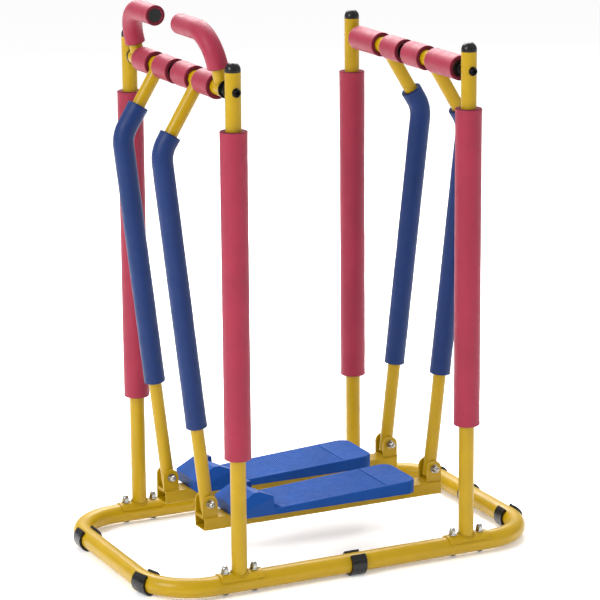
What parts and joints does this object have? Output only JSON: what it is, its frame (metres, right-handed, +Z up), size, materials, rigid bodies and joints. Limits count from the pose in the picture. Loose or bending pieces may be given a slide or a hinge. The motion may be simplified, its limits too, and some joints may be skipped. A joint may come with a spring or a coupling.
{
  "type": "children's air walker",
  "caption": "Child-sized free-standing air walker: yellow tube frame with foam sleeves, swinging arms, grips and blue pedals that glide back and forth.",
  "frame": {"origin": "on the floor, under the middle of the base", "axes": "+X from the handle end to the rear end, +Y towards the user's right when standing on the pedals and looking over the handles, +Z up"},
  "size_m": [0.857, 0.537, 1.0842],
  "materials": {
    "yellow_enamel": "glossy stoved enamel on steel tube",
    "red_foam": "closed-cell nitrile foam sleeve, matte skin",
    "blue_foam": "closed-cell nitrile foam sleeve, matte skin",
    "blue_plastic": "moulded polypropylene, fine diamond grain",
    "black_plastic": "moulded polyethylene and nylon, satin",
    "black_steel": "black-oxide steel",
    "zinc_steel": "bright nickel-plated steel",
    "bare_steel": "turned or drawn steel"
  },
  "bodies": {
    "stand": {"base_front_half": "yellow_enamel", "base_rear_half": "yellow_enamel", "base_joint_sleeves": "bare_steel", "base_clip_feet": "black_plastic", "saddle_bolts": "black_steel", "saddle_cap_nuts": "zinc_steel", "axle_screws": "black_steel", "front_axle": "bare_steel", "rear_axle": "bare_steel", "front_axle_spacers": "black_plastic", "rear_axle_spacers": "black_plastic", "front_left_post": "yellow_enamel", "front_left_post_cap": "black_plastic", "front_left_post_foam": "red_foam", "front_right_post": "yellow_enamel", "front_right_post_cap": "black_plastic", "front_right_post_foam": "red_foam", "rear_left_post": "yellow_enamel", "rear_left_post_cap": "black_plastic", "rear_left_post_foam": "red_foam", "rear_right_post": "yellow_enamel", "rear_right_post_cap": "black_plastic", "rear_right_post_foam": "red_foam"},
    "front_left_swing": {"front_left_arm": "yellow_enamel", "front_left_hub_bushes": "black_plastic", "front_left_inner_roll": "red_foam", "front_left_outer_roll": "red_foam", "front_left_arm_foam": "blue_foam", "front_left_pivot_bush": "black_plastic", "left_handle_foam": "red_foam", "left_handle_plug": "black_plastic"},
    "front_right_swing": {"front_right_arm": "yellow_enamel", "front_right_hub_bushes": "black_plastic", "front_right_inner_roll": "red_foam", "front_right_outer_roll": "red_foam", "front_right_arm_foam": "blue_foam", "front_right_pivot_bush": "black_plastic", "right_handle_foam": "red_foam", "right_handle_plug": "black_plastic"},
    "rear_left_swing": {"rear_left_arm": "yellow_enamel", "rear_left_hub_bushes": "black_plastic", "rear_left_inner_roll": "red_foam", "rear_left_outer_roll": "red_foam", "rear_left_arm_foam": "blue_foam", "rear_left_pivot_bush": "black_plastic"},
    "rear_right_swing": {"rear_right_arm": "yellow_enamel", "rear_right_hub_bushes": "black_plastic", "rear_right_inner_roll": "red_foam", "rear_right_outer_roll": "red_foam", "rear_right_arm_foam": "blue_foam", "rear_right_pivot_bush": "black_plastic"},
    "left_pedal": {"left_pedal_beam": "yellow_enamel", "left_tread": "blue_plastic", "left_tread_screws": "black_steel", "left_pivot_bolts": "zinc_steel"},
    "right_pedal": {"right_pedal_beam": "yellow_enamel", "right_tread": "blue_plastic", "right_tread_screws": "black_steel", "right_pivot_bolts": "zinc_steel"}
  },
  "joints": [
    {"name": "left_stride", "type": "hinge", "parent": "stand", "child": "front_left_swing", "pos_m": [-0.245, -0.094, 0.963], "axis": [0, 1, 0], "range_deg": [-30, 30]},
    {"name": "left_pedal_pivot", "type": "hinge", "parent": "front_left_swing", "child": "left_pedal", "pos_m": [-0.245, -0.094, 0.14], "axis": [0, 1, 0], "range_deg": [-30, 30]},
    {"name": "left_rear_arm", "type": "hinge", "parent": "stand", "child": "rear_left_swing", "pos_m": [0.245, -0.094, 0.963], "axis": [0, 1, 0], "range_deg": [-30, 30]},
    {"name": "right_stride", "type": "hinge", "parent": "stand", "child": "front_right_swing", "pos_m": [-0.245, 0.094, 0.963], "axis": [0, 1, 0], "range_deg": [-30, 30]},
    {"name": "right_pedal_pivot", "type": "hinge", "parent": "front_right_swing", "child": "right_pedal", "pos_m": [-0.245, 0.094, 0.14], "axis": [0, 1, 0], "range_deg": [-30, 30]},
    {"name": "right_rear_arm", "type": "hinge", "parent": "stand", "child": "rear_right_swing", "pos_m": [0.245, 0.094, 0.963], "axis": [0, 1, 0], "range_deg": [-30, 30]}
  ],
  "couplings": [
    {"joint": "left_pedal_pivot", "follows": "left_stride", "ratio": -1},
    {"joint": "left_rear_arm", "follows": "left_stride", "ratio": 1},
    {"joint": "right_pedal_pivot", "follows": "right_stride", "ratio": -1},
    {"joint": "right_rear_arm", "follows": "right_stride", "ratio": 1}
  ]
}
